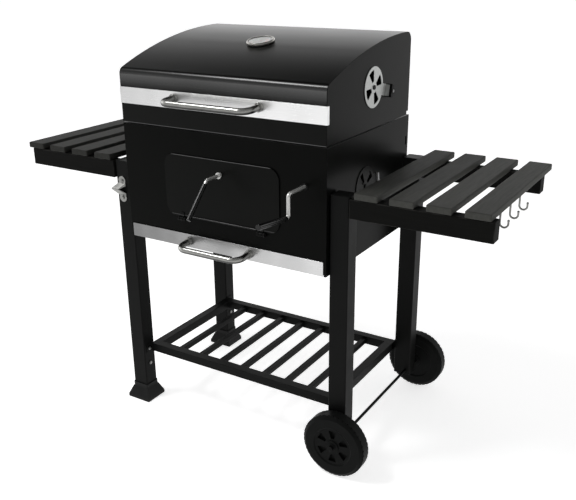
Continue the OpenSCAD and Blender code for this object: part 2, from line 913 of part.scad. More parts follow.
// The black winged knob on the turned-up end of the lid vent's tab, with its screw
module lid_vent_knob() {
    knob = [15, 24, 32];
    color(black_plastic) placed() at_vent(lid_vent, 0) rotate([vent_tab_turn, 0, 0])
        translate([0.2, lid_tab_reach, 0]) {
            translate([0, 0, -knob[2] / 2]) cube([knob[0], knob[1] / 2, knob[2]]);
            translate([0, knob[1] / 2, -knob[2] / 4]) cube([knob[0], knob[1] / 2, knob[2] / 2]);
            rod_x([knob[0], knob[1] / 3, 0], 2, 4);
        }
}

module box_vent_disc() {
    color(powder_black) placed() at_vent(box_vent, box_vent_turn) vent_disc(box_tab_reach);
}

// ---------------------------------------------------------------- charcoal door

module charcoal_door() {
    opening = [door_w - 2 * door_lap, door_h - 2 * door_lap];
    lip = opening - 2 * [lip_gap, lip_gap];
    lip_r = door_corner_r - door_lap - lip_gap;
    wall = 1.5;
    face_y = -door_gap - sheet;
    hem_r = 2.5;
    hem_half_w = door_hinge_x - 15;
    color(enamel) placed() {
        translate([door_x - door_w / 2, face_y, door_z]) stand_xz(sheet) difference() {
            rounded_rect(door_w, door_h, door_corner_r);
            translate([door_w / 2, door_h - handle_drop]) circle(r = handle_rod_r);
        }
        rod_x([door_x - hem_half_w, face_y - 1, door_z + hem_r + 0.5], 2 * hem_half_w, hem_r);
        translate([door_x - lip[0] / 2, -door_gap - eps, door_z + door_lap + lip_gap])
            stand_xz(door_gap + door_lip) difference() {
                rounded_rect(lip[0], lip[1], lip_r);
                translate([wall, wall]) rounded_rect(lip[0] - 2 * wall, lip[1] - 2 * wall, lip_r - wall);
            }
        for (side = [-1, 1]) translate([door_x + side * door_hinge_x, 0, 0]) difference() {
            union() {
                rod_x([-knuckle_r, door_hinge_y, door_hinge_z], 2 * knuckle_r, knuckle_r);
                block([-knuckle_r, door_hinge_y + 2, door_hinge_z], [knuckle_r, -door_gap, door_z + 12]);
            }
            rod_x([-2 * knuckle_r, door_hinge_y, door_hinge_z], 4 * knuckle_r, pin_r + run_gap);
        }
    }
}

// Places its children at the door handle's bend, with -Y turned down along the grip
module along_handle() {
    translate([door_x, handle_out, handle_z - handle_bend])
        rotate([handle_slope, 0, 0]) translate([0, 0, handle_bend]) children();
}

module door_handle_rod() {
    color(stainless) placed() {
        rod_y([door_x, handle_out, handle_z], -handle_out + 6, handle_rod_r);
        rod_y([door_x, -door_gap - sheet - 5, handle_z], 5, handle_rod_r + 4);
        rod_y([door_x, -door_gap, handle_z], 5, handle_rod_r + 4);
        bend_yz([door_x, handle_out, handle_z - handle_bend], 90, handle_slope, handle_bend, handle_rod_r);
        along_handle() rod_y([0, -handle_len - 2, 0], handle_len + 2.3, handle_core_r);
    }
}

module door_handle_grip() {
    color(black_plastic) placed() along_handle() difference() {
        rod_y([0, -handle_len - 6, 0], handle_len, handle_grip_r);
        rod_y([0, -handle_len - 2, 0], handle_len, handle_core_r);
    }
}

// ---------------------------------------------------------------- crank and tray

// Places its children at the start of the crank's lower bend, with -Y along the grip
module along_crank_grip() {
    translate([crank_x, crank_arm_y - crank_bend_r, crank_z - crank_drop + crank_bend_r])
        rotate([-crank_tilt, 0, 0]) translate([0, 0, -crank_bend_r]) children();
}

module crank_rod() {
    bend = crank_bend_r;
    r = crank_rod_r;
    low_z = crank_z - crank_drop;
    inside = grip_start + grip_len - 4;
    color(stainless) placed() translate([crank_x, 0, 0]) {
        rod_y([0, crank_arm_y + bend, crank_z], shaft_end_y - crank_arm_y - bend, r);
        bend_yz([0, crank_arm_y + bend, crank_z - bend], 90, 90, bend, r);
        translate([0, crank_arm_y, low_z + bend]) cylinder(h = crank_drop - 2 * bend, r = r);
        bend_yz([0, crank_arm_y - bend, low_z + bend], -90 - crank_tilt, 90 + crank_tilt, bend, r);
    }
    color(stainless) placed() along_crank_grip() rod_y([0, -inside, 0], inside + 0.3, grip_core_r);
}

module crank_grip() {
    color(black_plastic) placed() along_crank_grip() difference() {
        rod_y([0, -grip_start - grip_len, 0], grip_len, grip_r);
        rod_y([0, -grip_start - grip_len + 4, 0], grip_len, grip_core_r);
    }
}

// Half the width of a tooth at a height above the pitch line
function tooth_half(h) = (tooth_pitch / 2 - gear_backlash) / 2 - h * tan(20);

module crank_pinion() {
    root_r = pitch_r - dedendum;
    color(ash_steel) placed() translate([crank_x, gear_y, crank_z]) difference() {
        stand_xz(gear_w) {
            circle(r = root_r);
            for (i = [0:gear_teeth - 1]) rotate(i * 360 / gear_teeth + 180) polygon([
                [root_r - 1, -tooth_half(-dedendum)], [pitch_r, -tooth_half(0)],
                [pitch_r + addendum, -tooth_half(addendum)], [pitch_r + addendum, tooth_half(addendum)],
                [pitch_r, tooth_half(0)], [root_r - 1, tooth_half(-dedendum)]
            ]);
        }
        rod_y([0, -1, 0], gear_w + 2, crank_rod_r);
    }
}

// The rack's teeth, with a gap opposite the pinion's resting tooth
module rack_teeth() {
    count = ceil(tray_lift / tooth_pitch) + 2;
    for (i = [0:count - 1]) translate([rack_line_x, crank_z + (0.5 - i) * tooth_pitch])
        polygon([
            [-dedendum - 0.1, -tooth_half(-dedendum)], [addendum, -tooth_half(addendum)],
            [addendum, tooth_half(addendum)], [-dedendum - 0.1, tooth_half(-dedendum)]
        ]);
}

// The tray with a floor ledge for its grate, two guide ears and the lifting rack on its right
module charcoal_tray() {
    wall = 2;
    ledge = 16;
    ear_t = 6;
    color(ash_steel) placed() {
        difference() {
            block([-tray_half_w, tray_y[0], tray_z[0]], [tray_half_w, tray_y[1], tray_z[1]]);
            block([-tray_half_w + wall, tray_y[0] + wall, tray_z[0] + wall],
                  [tray_half_w - wall, tray_y[1] - wall, tray_z[1] + 1]);
            block([-tray_half_w + ledge, tray_y[0] + ledge, tray_z[0] - 1],
                  [tray_half_w - ledge, tray_y[1] - ledge, tray_z[1]]);
        }
        for (side = [-1, 1]) difference() {
            block([side > 0 ? tray_half_w : -guide_x - 11, guide_y - 11, tray_z[0] + 8],
                  [side > 0 ? guide_x + 11 : -tray_half_w, guide_y + 11, tray_z[0] + 8 + ear_t]);
            translate([side * guide_x, guide_y, tray_z[0]]) cylinder(h = 30, r = guide_r + run_gap);
        }
        block([tray_half_w, gear_y, tray_z[0] + 10],
              [rack_line_x - dedendum, gear_y + gear_w, crank_z + tooth_pitch / 2 + tooth_half(-dedendum)]);
        translate([0, gear_y, 0]) stand_xz(gear_w) rack_teeth();
    }
}

module charcoal_grate() {
    rods = 19;
    r = 3;
    inset = 6;
    z = tray_z[0] + 2 + 3 * r;
    span = 2 * (tray_half_w - inset);
    color(grate_steel) placed() {
        for (i = [0:rods - 1])
            rod_y([-span / 2 + r + i * (span - 2 * r) / (rods - 1), tray_y[0] + inset, z - 0.8 * r],
                  tray_y[1] - tray_y[0] - 2 * inset, r);
        for (y = [tray_y[0] + inset + 30, tray_y[1] - inset - 30])
            rod_x([-span / 2, y, z - 2 * r], span, r);
    }
}

// ---------------------------------------------------------------- ash drawer

module ash_drawer() {
    color(ash_steel) placed() difference() {
        block([-pan_half_w, pan_y[0], pan_z[0]], [pan_half_w, pan_y[1], pan_z[1]]);
        block([-pan_half_w + pan_wall, pan_y[0] + pan_wall, pan_z[0] + pan_wall],
              [pan_half_w - pan_wall, pan_y[1] - pan_wall, pan_z[1] + 1]);
    }
}

module drawer_front() {
    corner_r = 2;
    color(stainless) placed() translate([-strip_half_w, -1.5, strip_z[0]])
        stand_xz(1.5) rounded_rect(2 * strip_half_w, strip_z[1] - strip_z[0], corner_r);
}

module drawer_handle() {
    color(stainless) placed() translate([-8, -1.5, (strip_z[0] + strip_z[1]) / 2])
        bar_handle(185, 52, 5);
}

// ---------------------------------------------------------------- cooking grates

// One wire cooking grate, from x = 0 to x = grate_w
module cooking_grate() {
    r = grate_rod_r;
    z = ledge_z + r + 0.3;
    pitch = (grate_w - 2 * r) / (grate_rods - 1);
    for (i = [0:grate_rods - 1]) rod_y([r + i * pitch, grate_y[0], z], grate_y[1] - grate_y[0], r);
    for (y = [grate_y[0] + r, grate_y[1] - r]) rod_x([0, y, z], grate_w, r);
}

module grate_right() {
    color(grate_steel) placed() translate([3, 0, 0]) cooking_grate();
}

module grate_left() {
    color(grate_steel) placed() translate([-3 - grate_w, 0, 0]) cooking_grate();
}

box_front();
box_left();
box_right();
box_rear();
box_rim();
grate_ledges();
drawer_runners();
tray_guides();
crank_bearings();
door_hinge();
lid_hinge_lower();
front_left_leg();
rear_left_leg();
front_right_leg();
rear_right_leg();
front_left_foot();
rear_left_foot();
leg_plugs();
rack_frame();
rack_bars();
axle();
axle_nuts();
bolts();
table_brackets();
left_front_apron();
left_rear_apron();
left_slats();
right_front_apron();
right_rear_apron();
right_slats();
utensil_hooks();
bottle_opener();
front_wheel();
rear_wheel();
lid_shell();
lid_left_side();
lid_right_side();
lid_band();
lid_handle();
lid_hinge_upper();
thermometer_bezel();
thermometer_dial();
thermometer_glass();
thermometer_needle();
lid_vent_disc();
lid_vent_knob();
box_vent_disc();
charcoal_door();
door_handle_rod();
door_handle_grip();
crank_rod();
crank_grip();
crank_pinion();
charcoal_tray();
charcoal_grate();
ash_drawer();
drawer_front();
drawer_handle();
grate_left();
grate_right();
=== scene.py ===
"""Charcoal grill cart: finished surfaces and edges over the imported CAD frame."""
import json
import math

import bmesh
import bpy
from mathutils import Matrix, Vector

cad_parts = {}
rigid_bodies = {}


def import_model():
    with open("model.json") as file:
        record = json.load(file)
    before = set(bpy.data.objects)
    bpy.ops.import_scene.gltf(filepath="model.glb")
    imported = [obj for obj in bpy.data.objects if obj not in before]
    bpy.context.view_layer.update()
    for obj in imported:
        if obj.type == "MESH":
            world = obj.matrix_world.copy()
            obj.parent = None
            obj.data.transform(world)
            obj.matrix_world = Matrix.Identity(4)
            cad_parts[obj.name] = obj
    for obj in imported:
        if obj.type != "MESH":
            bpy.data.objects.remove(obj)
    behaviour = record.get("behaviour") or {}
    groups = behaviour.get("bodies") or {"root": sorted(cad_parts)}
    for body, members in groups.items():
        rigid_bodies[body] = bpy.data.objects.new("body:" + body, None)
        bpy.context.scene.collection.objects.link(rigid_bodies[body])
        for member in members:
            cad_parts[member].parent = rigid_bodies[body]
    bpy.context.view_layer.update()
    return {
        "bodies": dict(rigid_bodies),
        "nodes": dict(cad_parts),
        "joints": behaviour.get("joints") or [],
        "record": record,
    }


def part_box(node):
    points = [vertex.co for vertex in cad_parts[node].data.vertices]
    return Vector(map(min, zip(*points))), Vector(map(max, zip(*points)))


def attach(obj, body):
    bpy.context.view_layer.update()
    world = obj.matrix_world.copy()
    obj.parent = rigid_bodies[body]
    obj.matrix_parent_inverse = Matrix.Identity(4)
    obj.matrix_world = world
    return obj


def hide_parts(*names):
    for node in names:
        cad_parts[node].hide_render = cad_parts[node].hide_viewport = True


MM = 0.001
EDGE_ANGLE = math.radians(28)

# Studio: how bright the surroundings are low down and overhead, behind the cart and in front of it
REAR_GLOW = (1.75, 0.03)
FRONT_GLOW = (0.55, 0.2)
FLOOR_GLOW = 0.68

# How high in the surroundings, from 0 level to 1 overhead, each glow starts and stops changing
REAR_RISE = (0.28, 0.64)
FRONT_RISE = (0.15, 0.75)

# The key lamp: where it hangs and points in metres, its two sides in metres, and its watts
KEY_AT = (-1.7, -1.4, 3.6)
KEY_TARGET = (0.0, -0.1, 0.9)
KEY_SIZE = (1.3, 0.6)
KEY_WATTS = 60.0

# Half the floor's width in metres
FLOOR_HALF_WIDTH = 60.0

# Painted highlight lines in millimetres: how far the door's line on its rolled hem sits above the door's
# lower edge and its width, and the width of the painted highlight line along the edge of the lid and of the
# door
HEM_RISE_MM = 13.5
HEM_HIGHLIGHT_MM = 1.6
EDGE_HIGHLIGHT_MM = 1.4

# The lid's glossy fold: how far above the band it shines most, and how far down from there it reaches
FOLD_RISE_MM = 32
FOLD_SPREAD_MM = 34

# Bare metal at the outer end of the firebox vent's tab and of the lid vent's knob
VENT_TIP_MM = 6
KNOB_TIP_MM = 1.9

# The thermometer's dial: number of marks, and its rings as fractions of the dial's radius
DIAL_MARK_COUNT = 20
DIAL_MARKS = (0.74, 0.92)
DIAL_BAND = (0.5, 0.68)

# Camera: where it stands in metres, and how it is turned in degrees
CAMERA_AT = (1.0971, -1.6398, 1.2189)
CAMERA_AZIMUTH = 31.78
CAMERA_DOWN = 20.64
CAMERA_ROLL = -0.547
CAMERA_LENS = 48.73
SENSOR_WIDTH = 36.0

# Rounded edges in millimetres for each CAD node whose sharp edges are softened
EDGE_MM = {
    "box_front": 0.6, "box_left": 0.6, "box_right": 0.5, "box_rear": 0.6, "box_rim": 0.6,
    "grate_ledges": 0.4, "drawer_runners": 0.4, "tray_guides": 0.6, "crank_bearings": 0.6,
    "front_left_leg": 0.5, "rear_left_leg": 0.5, "front_right_leg": 0.5, "rear_right_leg": 0.5,
    "front_left_foot": 1.6, "rear_left_foot": 1.6, "leg_plugs": 0.7,
    "rack_frame": 1.4, "rack_bars": 1.2, "axle": 0.5, "axle_nuts": 1.2, "bolts": 0.6,
    "table_brackets": 0.6,
    "left_front_apron": 2.0, "left_rear_apron": 2.0, "right_front_apron": 2.0,
    "right_rear_apron": 2.0, "left_slats": 2.6, "right_slats": 2.6,
    "bottle_opener": 0.5, "front_wheel": 1.0, "rear_wheel": 1.0,
    "lid_shell": 0.5, "lid_left_side": 0.6, "lid_right_side": 0.5, "lid_band": 0.35,
    "lid_handle": 0.6, "lid_hinge_upper": 0.6, "lid_hinge_lower": 0.6, "door_hinge": 0.5,
    "thermometer_bezel": 0.5, "lid_vent_disc": 0.4, "box_vent_disc": 0.4, "lid_vent_knob": 2.0,
    "charcoal_door": 0.5, "door_handle_rod": 0.5, "door_handle_grip": 1.6,
    "crank_rod": 0.5, "crank_grip": 1.8, "crank_pinion": 0.3,
    "charcoal_tray": 0.5, "ash_drawer": 0.4, "drawer_front": 0.4, "drawer_handle": 0.6,
}


# The finish worn by a whole slot, and by single nodes, where it isn't the slot's own
FINISH_OF_SLOT = {"table_paint": "boards_y"}
FINISH_OF_NODE = {
    "charcoal_door": "enamel_door", "lid_shell": "enamel_lid",
    "lid_left_side": "enamel_side", "lid_right_side": "enamel_side",
    "front_left_foot": "foot_plastic", "rear_left_foot": "foot_plastic",
    "lid_band": "band_steel", "drawer_front": "strip_steel",
    "lid_handle": "stainless_rod", "drawer_handle": "stainless_rod",
    "crank_rod": "bright_rod", "door_handle_rod": "bright_rod",
    "door_handle_grip": "grip_plastic", "crank_grip": "grip_plastic",
    "utensil_hooks": "zinc_dull", "bottle_opener": "zinc_dull", "bolts": "zinc_dull",
    "right_slats": "boards_lit_right", "box_vent_disc": "black_vent_bright_tip", "lid_vent_knob": "knob_and_screw",
    "thermometer_bezel": "bezel_steel",
}


# ------------------------------------------------------------ shader helpers

def new_material(name, colour, roughness, metallic=0.0, **sockets):
    """Makes a material and returns it with its node tree and its Principled shader."""
    material = bpy.data.materials.new(name)
    material.use_nodes = True
    tree = material.node_tree
    shader = tree.nodes["Principled BSDF"]
    shader.inputs["Base Color"].default_value = (*colour, 1.0)
    shader.inputs["Roughness"].default_value = roughness
    shader.inputs["Metallic"].default_value = metallic
    for socket, value in sockets.items():
        shader.inputs[socket.replace("_", " ")].default_value = value
    return material, tree, shader


def noise(tree, scale, detail=3.0, stretch=(1.0, 1.0, 1.0), roughness=0.5):
    """A noise pattern fixed to the object, with scale in cycles per metre."""
    coords = tree.nodes.new("ShaderNodeTexCoord")
    mapping = tree.nodes.new("ShaderNodeMapping")
    mapping.inputs["Scale"].default_value = stretch
    texture = tree.nodes.new("ShaderNodeTexNoise")
    texture.inputs["Scale"].default_value = scale
    texture.inputs["Detail"].default_value = detail
    texture.inputs["Roughness"].default_value = roughness
    tree.links.new(coords.outputs["Object"], mapping.inputs["Vector"])
    tree.links.new(mapping.outputs["Vector"], texture.inputs["Vector"])
    return texture.outputs["Fac"]


def coordinates(tree, kind="Object"):
    """The X, Y and Z of one of the shader's coordinate systems."""
    coords = tree.nodes.new("ShaderNodeTexCoord")
    split = tree.nodes.new("ShaderNodeSeparateXYZ")
    tree.links.new(coords.outputs[kind], split.inputs["Vector"])
    return split.outputs


def spread(tree, value, low, high, start=0.3, end=0.7):
    """Maps a 0 to 1 pattern onto low to high, with its contrast set by start and end."""
    node = tree.nodes.new("ShaderNodeMapRange")
    node.inputs["From Min"].default_value = start
    node.inputs["From Max"].default_value = end
    node.inputs["To Min"].default_value = low
    node.inputs["To Max"].default_value = high
    tree.links.new(value, node.inputs["Value"])
    return node.outputs["Result"]


def blend_colours(tree, factor, first, second):
    """Mixes two colours; each is a socket or three numbers."""
    node = tree.nodes.new("ShaderNodeMix")
    node.data_type = "RGBA"
    tree.links.new(factor, node.inputs["Factor"])
    for value, socket in ((first, node.inputs[6]), (second, node.inputs[7])):
        if isinstance(value, tuple):
            socket.default_value = (*value, 1.0)
        else:
            tree.links.new(value, socket)
    return node.outputs[2]


def combine(tree, operation, first, second):
    """Arithmetic on two sockets, or on a socket and a number."""
    node = tree.nodes.new("ShaderNodeMath")
    node.operation = operation
    for value, socket in ((first, node.inputs[0]), (second, node.inputs[1])):
        if isinstance(value, (int, float)):
            socket.default_value = value
        else:
            tree.links.new(value, socket)
    return node.outputs[0]


def between(tree, value, start, end):
    """1 where a socket's value lies between start and end, and 0 elsewhere."""
    above = combine(tree, "GREATER_THAN", value, start)
    below = combine(tree, "LESS_THAN", value, end)
    return combine(tree, "MULTIPLY", above, below)


def add_bump(tree, shader, height, depth_mm, strength=1.0):
    """Bumps the surface by a 0 to 1 pattern whose full height is depth_mm."""
    node = tree.nodes.new("ShaderNodeBump")
    node.inputs["Strength"].default_value = strength
    node.inputs["Distance"].default_value = depth_mm * MM
    tree.links.new(height, node.inputs["Height"])
    tree.links.new(node.outputs["Normal"], shader.inputs["Normal"])


def wear(tree):
    """The edge-wear attribute that soften() writes: 1 on a rounded edge, 0 elsewhere."""
    node = tree.nodes.new("ShaderNodeAttribute")
    node.attribute_type = "GEOMETRY"
    node.attribute_name = "edge_wear"
    return node.outputs["Fac"]


def edge_mask(tree, scale, amount):
    """Edge wear broken up by noise, from 0 to amount."""
    patches = spread(tree, noise(tree, scale, 4.0), 0.0, amount, 0.42, 0.62)
    return combine(tree, "MULTIPLY", wear(tree), patches)


# ------------------------------------------------------------ materials

def enamel(name, tone=1.0, roughness=0.3, index=1.13):
    """Satin-gloss black heat-proof paint with a faint orange-peel surface."""
    dark = tuple(tone * v for v in (0.0027, 0.0029, 0.0026))
    light = tuple(tone * v for v in (0.0033, 0.0035, 0.0031))
    material, tree, shader = new_material(name, dark, roughness, IOR=index)
    cloud = spread(tree, noise(tree, 5.0, 4.0), 0.0, 1.0)
    colour = blend_colours(tree, cloud, dark, light)
    colour = blend_colours(tree, edge_mask(tree, 60.0, 0.25), colour, (0.02, 0.02, 0.02))
    tree.links.new(colour, shader.inputs["Base Color"])
    smear = spread(tree, noise(tree, 7.0, 5.0), roughness - 0.01, roughness + 0.01)
    tree.links.new(smear, shader.inputs["Roughness"])
    add_bump(tree, shader, noise(tree, 700.0, 1.0), 0.01, 0.2)
    return material


def powder_coat(name, tone=0.95, index=1.14):
    """Matt black powder coat with a fine grain."""
    dark = tuple(tone * v for v in (0.0045, 0.0047, 0.0045))
    light = tuple(tone * v for v in (0.0062, 0.0064, 0.0062))
    material, tree, shader = new_material(name, dark, 0.42, IOR=index)
    grain = noise(tree, 1500.0, 2.0)
    colour = blend_colours(tree, spread(tree, grain, 0.0, 1.0), dark, light)
    colour = blend_colours(tree, edge_mask(tree, 80.0, 0.3), colour, (0.03, 0.03, 0.03))
    tree.links.new(colour, shader.inputs["Base Color"])
    patches = spread(tree, noise(tree, 18.0, 4.0), 0.38, 0.46)
    tree.links.new(patches, shader.inputs["Roughness"])
    add_bump(tree, shader, grain, 0.02, 0.15)
    return material


def glossy_fold(material, node, rise_mm, spread_mm):
    """Adds a clear coat to a lid's enamel, in a band that peaks a rise above a node's top."""
    tree = material.node_tree
    shader = tree.nodes["Principled BSDF"]
    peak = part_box(node)[1].z + rise_mm * MM
    height = coordinates(tree)["Z"]
    below = spread(tree, height, 0.0, 1.0, peak - spread_mm * MM, peak)
    above = spread(tree, height, 1.0, 0.0, peak, peak + 0.4 * spread_mm * MM)
    streaks = spread(tree, noise(tree, 9.0, 3.0, (0.4, 1.0, 1.0)), 0.75, 1.0)
    coat = combine(tree, "MULTIPLY", combine(tree, "MULTIPLY", below, above), streaks)
    tree.links.new(coat, shader.inputs["Coat Weight"])
    shader.inputs["Coat IOR"].default_value = 1.85
    shader.inputs["Coat Roughness"].default_value = 0.22
    return material


def bare_metal_and_highlight_band(material, axis, start, end, metal=(0.62, 0.63, 0.62)):
    """Turns a coated material to metal between two of the object's own coordinates: bare metal on the
    vent's and knob's tips, and a thin painted highlight line along the lid's and door's edges and on the
    door's hem.
    """
    tree = material.node_tree
    shader = tree.nodes["Principled BSDF"]
    metal_band = between(tree, coordinates(tree)[axis], start, end)
    bloom = spread(tree, noise(tree, 300.0, 4.0), 0.6, 1.0)
    mottled = blend_colours(tree, bloom, tuple(0.5 * v for v in metal), metal)
    paint = shader.inputs["Base Color"].links[0].from_socket
    tree.links.new(blend_colours(tree, metal_band, paint, mottled), shader.inputs["Base Color"])
    metallic = shader.inputs["Metallic"]
    if metallic.links:
        metal_band = combine(tree, "MAXIMUM", metallic.links[0].from_socket, metal_band)
    tree.links.new(metal_band, metallic)
    return material


def painted_board(name, along, tone=1.0, index=1.15):
    """Charcoal paint over boards, with the grain showing through along one axis."""
    stretch = tuple(0.06 if axis == along else 1.0 for axis in "XYZ")
    dark = tuple(tone * v for v in (0.0215, 0.0217, 0.0198))
    light = tuple(tone * v for v in (0.0275, 0.0277, 0.0255))
    material, tree, shader = new_material(name, dark, 0.6, IOR=index)
    grain = noise(tree, 420.0, 5.0, stretch, 0.62)
    figure = noise(tree, 140.0, 4.0, stretch)
    fine = combine(tree, "MULTIPLY", grain, 0.6)
    broad = combine(tree, "MULTIPLY", figure, 0.4)
    height = combine(tree, "ADD", fine, broad)
    colour = blend_colours(tree, spread(tree, figure, 0.0, 1.0), dark, light)
    colour = blend_colours(tree, edge_mask(tree, 45.0, 0.35), colour, (0.05, 0.049, 0.046))
    tree.links.new(colour, shader.inputs["Base Color"])
    tree.links.new(spread(tree, grain, 0.54, 0.68), shader.inputs["Roughness"])
    add_bump(tree, shader, height, 0.1, 0.25)
    return material


def brushed_steel(name, along, colour=(0.80, 0.80, 0.80), roughness=0.30, brush=1.0):
    """Brushed stainless steel whose fine scratches run along one axis."""
    stretch = tuple(0.012 if axis == along else 1.0 for axis in "XYZ")
    material, tree, shader = new_material(name, colour, roughness, 1.0)
    scratches = noise(tree, 2200.0, 3.0, stretch, 0.6)
    clouds = noise(tree, 14.0, 3.0)
    darker = tuple(0.86 * v for v in colour)
    tint = combine(tree, "MULTIPLY", spread(tree, scratches, 0.0, 1.0), 0.55 * brush)
    tone = blend_colours(tree, tint, colour, darker)
    tree.links.new(tone, shader.inputs["Base Color"])
    spots = spread(tree, clouds, roughness - 0.04, roughness + 0.07)
    lines = spread(tree, scratches, -0.05 * brush, 0.06 * brush)
    tree.links.new(combine(tree, "ADD", spots, lines), shader.inputs["Roughness"])
    add_bump(tree, shader, scratches, 0.012 * brush, 0.5)
    return material


def polished_rod(name, top=(0.5, 0.5, 0.48), below=(0.05, 0.05, 0.048), metallic=1.0):
    """Satin stainless rod whose colour darkens towards its underside, a painted shade."""
    material = brushed_steel(name, "X", top, 0.24, 0.4)
    tree = material.node_tree
    shader = tree.nodes["Principled BSDF"]
    shader.inputs["Metallic"].default_value = metallic
    wave = spread(tree, noise(tree, 25.0, 3.0), -0.08, 0.08)
    up = combine(tree, "ADD", coordinates(tree, "Normal")["Z"], wave)
    steel = shader.inputs["Base Color"].links[0].from_socket
    tree.links.new(blend_colours(tree, spread(tree, up, 0.0, 1.0, -0.35, 0.45), below, steel),
                   shader.inputs["Base Color"])
    return material


def steel_with_painted_sheen(name, node, dull, bright):
    """Brushed steel whose colour lightens along a node from its left end to its right, a painted sheen."""
    material = brushed_steel(name, "X")
    tree = material.node_tree
    shader = tree.nodes["Principled BSDF"]
    low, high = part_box(node)
    ramp = spread(tree, coordinates(tree)["X"], 0.0, 1.0, low.x, high.x)
    waves = spread(tree, noise(tree, 6.0, 2.0, (1.0, 0.2, 0.2)), -0.25, 0.25)
    amount = combine(tree, "ADD", ramp, waves)
    steel = shader.inputs["Base Color"].links[0].from_socket
    tinted = tree.nodes.new("ShaderNodeMix")
    tinted.data_type = "RGBA"
    tinted.blend_type = "MULTIPLY"
    tinted.inputs["Factor"].default_value = 1.0
    tree.links.new(steel, tinted.inputs[6])
    tree.links.new(blend_colours(tree, amount, (dull,) * 3, (bright,) * 3), tinted.inputs[7])
    tree.links.new(tinted.outputs[2], shader.inputs["Base Color"])
    return material


def zinc_plate(name, colour=(0.52, 0.53, 0.52), roughness=0.42):
    """Matt zinc-plated steel with a faint cloudy bloom."""
    material, tree, shader = new_material(name, colour, roughness, 1.0)
    bloom = noise(tree, 110.0, 5.0)
    darker = tuple(0.78 * v for v in colour)
    shade = blend_colours(tree, spread(tree, bloom, 0.0, 1.0), darker, colour)
    tree.links.new(shade, shader.inputs["Base Color"])
    tree.links.new(spread(tree, bloom, roughness - 0.08, roughness + 0.1), shader.inputs["Roughness"])
    add_bump(tree, shader, noise(tree, 900.0, 3.0), 0.03, 0.5)
    return material


def galvanised_sheet(name):
    """Galvanised sheet with spangle and a dull film."""
    material, tree, shader = new_material(name, (0.34, 0.34, 0.35), 0.45, 1.0)
    coords = tree.nodes.new("ShaderNodeTexCoord")
    spangle = tree.nodes.new("ShaderNodeTexVoronoi")
    spangle.inputs["Scale"].default_value = 130.0
    tree.links.new(coords.outputs["Object"], spangle.inputs["Vector"])
    tone = spread(tree, spangle.outputs["Color"], 0.0, 1.0, 0.0, 1.0)
    shade = blend_colours(tree, tone, (0.26, 0.26, 0.27), (0.42, 0.42, 0.43))
    tree.links.new(shade, shader.inputs["Base Color"])
    tree.links.new(spread(tree, tone, 0.36, 0.55, 0.0, 1.0), shader.inputs["Roughness"])
    add_bump(tree, shader, noise(tree, 400.0, 3.0), 0.03, 0.5)
    return material


def wire_steel(name):
    """Plated grate wire, slightly browned."""
    material, tree, shader = new_material(name, (0.30, 0.29, 0.28), 0.38, 1.0)
    stains = spread(tree, noise(tree, 70.0, 5.0), 0.0, 1.0)
    shade = blend_colours(tree, stains, (0.33, 0.33, 0.33), (0.20, 0.18, 0.165))
    tree.links.new(shade, shader.inputs["Base Color"])
    tree.links.new(spread(tree, stains, 0.32, 0.5, 0.0, 1.0), shader.inputs["Roughness"])
    add_bump(tree, shader, noise(tree, 800.0, 2.0), 0.03, 0.4)
    return material


def moulded_plastic(name, colour=(0.0036, 0.0038, 0.0037), roughness=0.42, index=1.13, grain=0.03):
    """Black moulded plastic with a fine leathery grain."""
    material, tree, shader = new_material(name, colour, roughness, IOR=index)
    skin = noise(tree, 1300.0, 3.0)
    lighter = tuple(1.3 * v for v in colour)
    shade = blend_colours(tree, spread(tree, noise(tree, 35.0, 4.0), 0.0, 1.0), colour, lighter)
    shade = blend_colours(tree, edge_mask(tree, 90.0, 0.3), shade, (0.025, 0.025, 0.025))
    tree.links.new(shade, shader.inputs["Base Color"])
    tree.links.new(spread(tree, skin, roughness - 0.06, roughness + 0.08), shader.inputs["Roughness"])
    add_bump(tree, shader, skin, grain, 0.15)
    return material


def dial_face(name):
    """A pale dial with a scale of short marks, and a band that is green then red."""
    material, tree, shader = new_material(name, (0.23, 0.23, 0.22), 0.4)
    low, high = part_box("thermometer_glass")
    tilt = math.atan2(high.z - low.z, high.y - low.y)
    place = tree.nodes.new("ShaderNodeMapping")
    place.vector_type = "TEXTURE"
    place.inputs["Location"].default_value = (low + high) / 2
    place.inputs["Rotation"].default_value = (tilt, 0.0, 0.0)
    coords = tree.nodes.new("ShaderNodeTexCoord")
    split = tree.nodes.new("ShaderNodeSeparateXYZ")
    tree.links.new(coords.outputs["Object"], place.inputs["Vector"])
    tree.links.new(place.outputs["Vector"], split.inputs["Vector"])
    x, y = split.outputs["X"], split.outputs["Y"]
    square = combine(tree, "ADD", combine(tree, "POWER", x, 2.0), combine(tree, "POWER", y, 2.0))
    radius = combine(tree, "POWER", square, 0.5)
    turn = combine(tree, "DIVIDE", combine(tree, "ARCTAN2", x, y), 2 * math.pi)
    rim = (high.x - low.x) / 2
    ring = between(tree, radius, DIAL_MARKS[0] * rim, DIAL_MARKS[1] * rim)
    steps = combine(tree, "PINGPONG", combine(tree, "MULTIPLY", turn, 2.0 * DIAL_MARK_COUNT), 1.0)
    mark = combine(tree, "MULTIPLY", ring, combine(tree, "LESS_THAN", steps, 0.22))
    band = between(tree, radius, DIAL_BAND[0] * rim, DIAL_BAND[1] * rim)
    hotter = spread(tree, turn, 0.0, 1.0, -0.1, 0.1)
    zone = blend_colours(tree, hotter, (0.1, 0.2, 0.09), (0.3, 0.06, 0.04))
    ageing = spread(tree, noise(tree, 90.0, 4.0), 0.0, 1.0)
    paper = blend_colours(tree, ageing, (0.2, 0.2, 0.19), (0.26, 0.26, 0.25))
    colour = blend_colours(tree, band, paper, zone)
    colour = blend_colours(tree, mark, colour, (0.02, 0.02, 0.02))
    tree.links.new(colour, shader.inputs["Base Color"])
    tree.links.new(spread(tree, noise(tree, 60.0, 3.0), 0.34, 0.46), shader.inputs["Roughness"])
    return material


